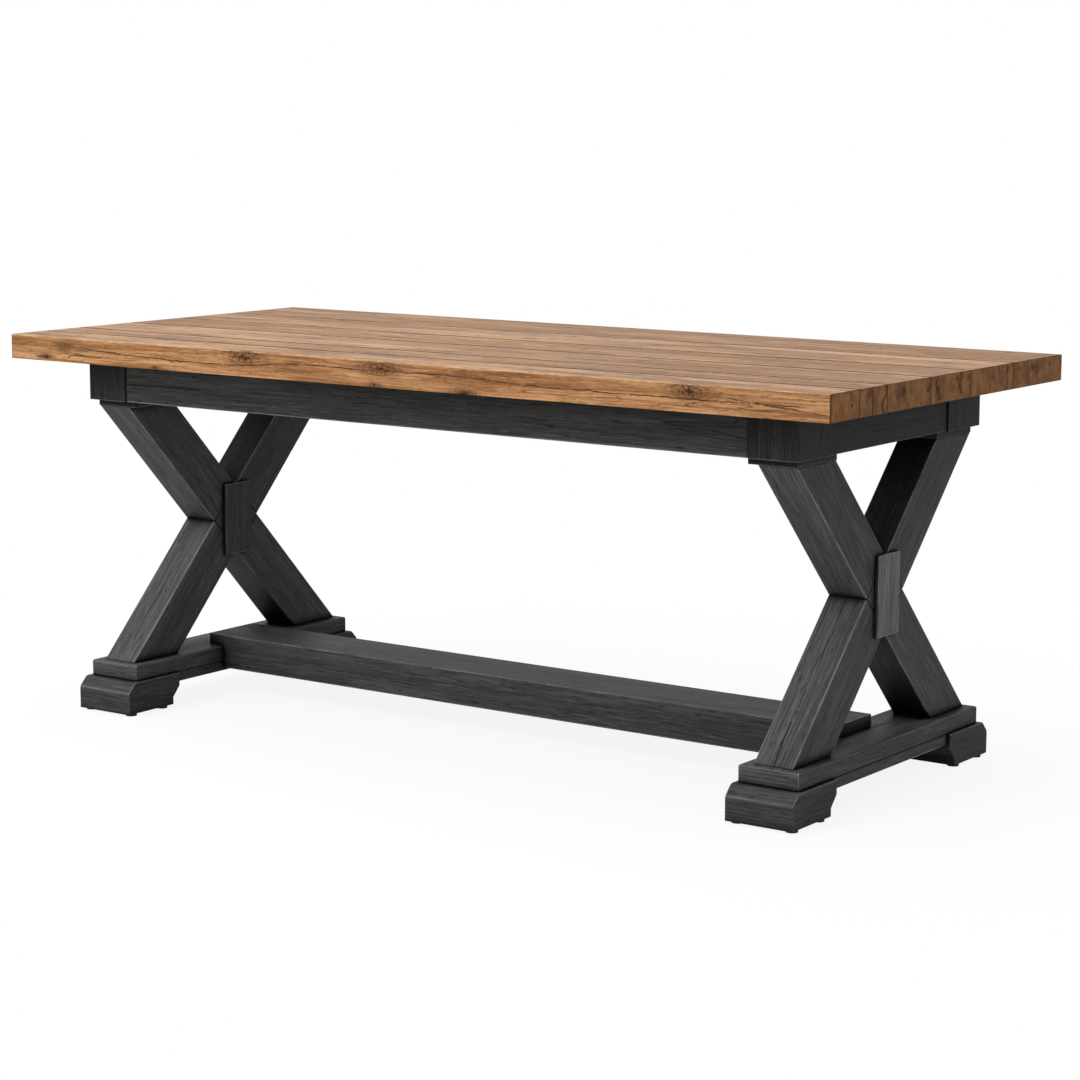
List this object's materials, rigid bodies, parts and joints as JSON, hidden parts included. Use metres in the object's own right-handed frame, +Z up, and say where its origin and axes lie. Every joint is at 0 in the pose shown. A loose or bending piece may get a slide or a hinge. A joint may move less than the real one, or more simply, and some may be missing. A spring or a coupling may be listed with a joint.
{
  "type": "sawbuck table",
  "caption": "Trestle dining table with a thick plank top, a framed apron, crossed X ends on sled feet, cover plates over the crossings and one low stretcher.",
  "frame": {"origin": "on the floor, under the middle of the table", "axes": "+X along the table's length, +Y across it towards the back, +Z up"},
  "size_m": [1.864, 0.86, 0.762],
  "materials": {
    "top_wood": "reclaimed, brushed, with a low satin sheen",
    "base_wood": "charcoal stain over open grain, lightly worn at the edges",
    "batten_wood": "planed, unfinished",
    "joint_wood": "planed, unfinished",
    "screw_steel": "zinc plated",
    "glide_plastic": "matte"
  },
  "bodies": {
    "root": {"apron_rail_back": "base_wood", "apron_rail_front": "base_wood", "apron_rail_left": "base_wood", "apron_rail_right": "base_wood", "batten_screws": "screw_steel", "block_tenons": "joint_wood", "cap_plate_back_left": "base_wood", "cap_plate_back_right": "base_wood", "cap_plate_front_left": "base_wood", "cap_plate_front_right": "base_wood", "corner_block_back_left": "base_wood", "corner_block_back_right": "base_wood", "corner_block_front_left": "base_wood", "corner_block_front_right": "base_wood", "cover_plate_inner_left": "base_wood", "cover_plate_inner_right": "base_wood", "cover_plate_outer_left": "base_wood", "cover_plate_outer_right": "base_wood", "crossing_core_left": "base_wood", "crossing_core_right": "base_wood", "crossing_tenons": "joint_wood", "foot_back_left": "base_wood", "foot_back_right": "base_wood", "foot_front_left": "base_wood", "foot_front_right": "base_wood", "foot_tenons": "joint_wood", "glides": "glide_plastic", "lower_arm_back_left": "base_wood", "lower_arm_back_right": "base_wood", "lower_arm_front_left": "base_wood", "lower_arm_front_right": "base_wood", "plank_splines": "joint_wood", "sled_cap_left": "base_wood", "sled_cap_right": "base_wood", "sled_core_left": "base_wood", "sled_core_right": "base_wood", "sled_tenons": "joint_wood", "stretcher": "base_wood", "stretcher_screws": "screw_steel", "top_batten_left": "batten_wood", "top_batten_middle": "batten_wood", "top_batten_right": "batten_wood", "top_plank_1": "top_wood", "top_plank_2": "top_wood", "top_plank_3": "top_wood", "top_plank_4": "top_wood", "top_plank_5": "top_wood", "top_plank_6": "top_wood", "upper_arm_back_left": "base_wood", "upper_arm_back_right": "base_wood", "upper_arm_front_left": "base_wood", "upper_arm_front_right": "base_wood"}
  },
  "joints": []
}
